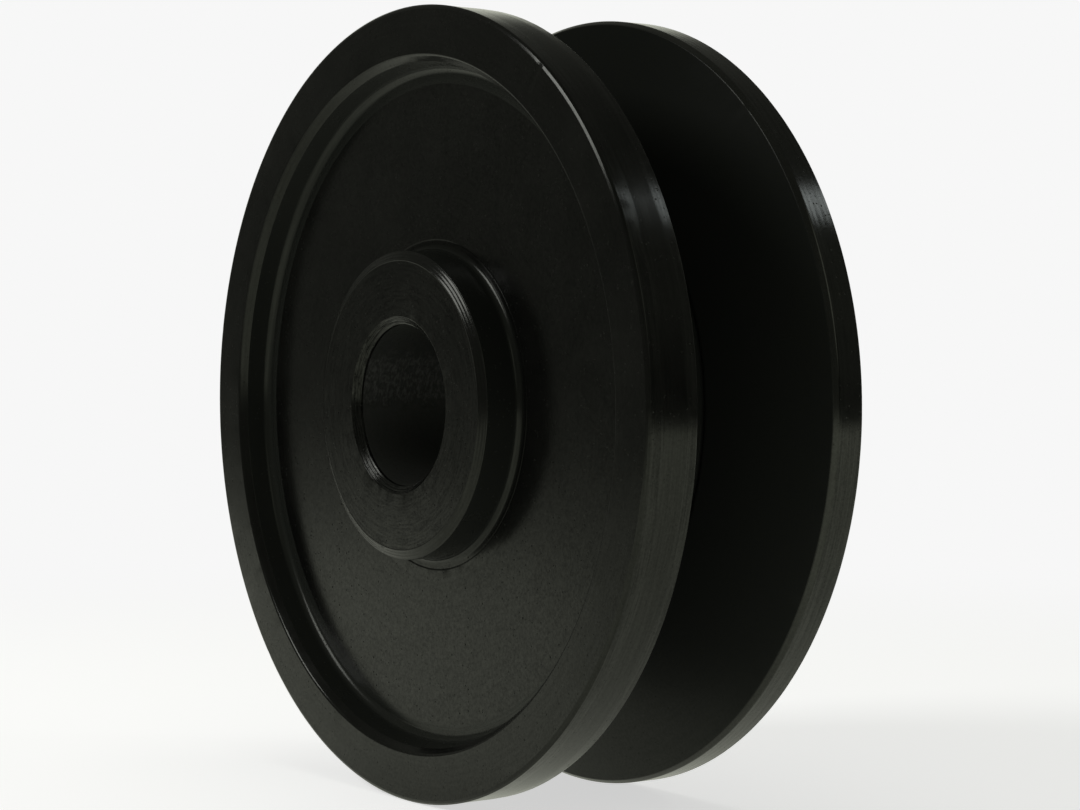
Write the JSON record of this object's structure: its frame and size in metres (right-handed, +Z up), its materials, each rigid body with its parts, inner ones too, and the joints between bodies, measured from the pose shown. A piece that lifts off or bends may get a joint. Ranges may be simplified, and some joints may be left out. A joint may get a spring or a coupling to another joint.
{
  "type": "v belt pulley",
  "caption": "V belt pulley with one deep groove between two flanges, a recessed front web, a raised hub boss and a plain bore, in black coated steel.",
  "frame": {"origin": "on the bore axis, in the middle plane of the belt groove", "axes": "+Y along the bore axis towards the rear face, where the shaft comes in; the recessed front face with the boss looks towards -Y; +Z up"},
  "size_m": [0.084, 0.0283, 0.084],
  "materials": {
    "black_coated_steel": "satin"
  },
  "bodies": {
    "root": {"hub": "black_coated_steel", "front_flange": "black_coated_steel", "rear_flange": "black_coated_steel"}
  },
  "joints": []
}
